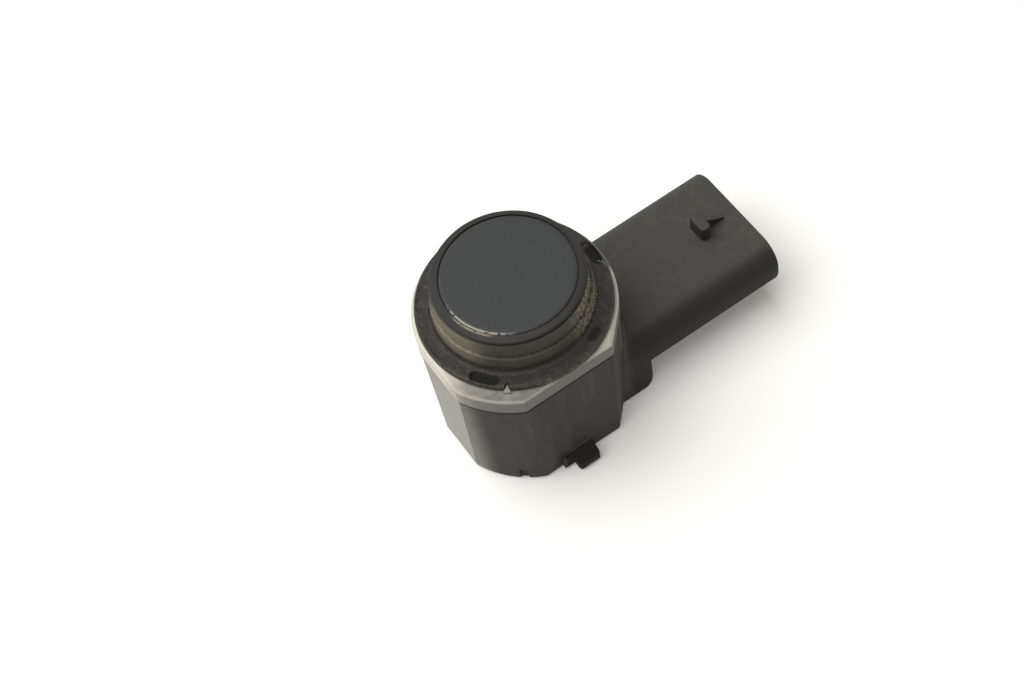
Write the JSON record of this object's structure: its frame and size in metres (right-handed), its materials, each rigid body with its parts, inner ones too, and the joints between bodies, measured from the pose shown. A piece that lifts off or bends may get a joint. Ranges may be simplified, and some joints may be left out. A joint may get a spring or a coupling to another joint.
{
  "type": "ultrasonic parking sensor",
  "caption": "Ultrasonic parking sensor: matt round membrane in a rubber decoupling ring, pale clamp ring, drafted dark housing and a side plug socket with a latch stud.",
  "frame": {"origin": "on the sensing axis, in the plane of the housing's back rim", "axes": "+Z along the sensing axis, out of the membrane; +X along the plug socket, out of its mouth; the squared corner of the housing lies towards -X and -Y"},
  "size_m": [0.0419, 0.0246, 0.026],
  "materials": {
    "moulded_plastic": "fine matt moulding, dusty",
    "ring_plastic": "pale, slightly translucent, dirty at its edges",
    "rubber": "matt, with dust and sand in the corners",
    "face_paint": "matt primer over aluminium",
    "piezo_ceramic": "fired, silvered on its faces",
    "foam": "closed-cell foam",
    "copper": "enamelled copper",
    "carrier_plastic": "plain moulded",
    "tinned_brass": "tin-plated",
    "board_laminate": "lacquered glass-fibre laminate",
    "chip_resin": "moulded resin",
    "ferrite": "sintered ferrite",
    "can_aluminium": "drawn can",
    "component_ceramic": "fired ceramic with tinned ends",
    "resistor_film": "glazed film on ceramic",
    "potting_resin": "cast, smooth"
  },
  "bodies": {
    "root": {"housing": "moulded_plastic", "retaining_ring": "ring_plastic", "decoupling_ring": "rubber", "transducer_cup": "face_paint", "piezo_disc": "piezo_ceramic", "damping_foam": "foam", "lead_wire_a": "copper", "lead_wire_b": "copper", "contact_carrier": "carrier_plastic", "contact_pin_a": "tinned_brass", "contact_pin_b": "tinned_brass", "circuit_board": "board_laminate", "control_chip": "chip_resin", "transformer_base": "chip_resin", "transformer_core": "ferrite", "transformer_winding": "copper", "storage_capacitor": "can_aluminium", "suppression_diode": "chip_resin", "ceramic_capacitor_1": "component_ceramic", "ceramic_capacitor_2": "component_ceramic", "ceramic_capacitor_3": "component_ceramic", "resistor_1": "resistor_film", "resistor_2": "resistor_film", "resistor_3": "resistor_film", "potting_compound": "potting_resin", "terminal_supply": "tinned_brass", "terminal_signal": "tinned_brass", "terminal_ground": "tinned_brass"}
  },
  "joints": []
}
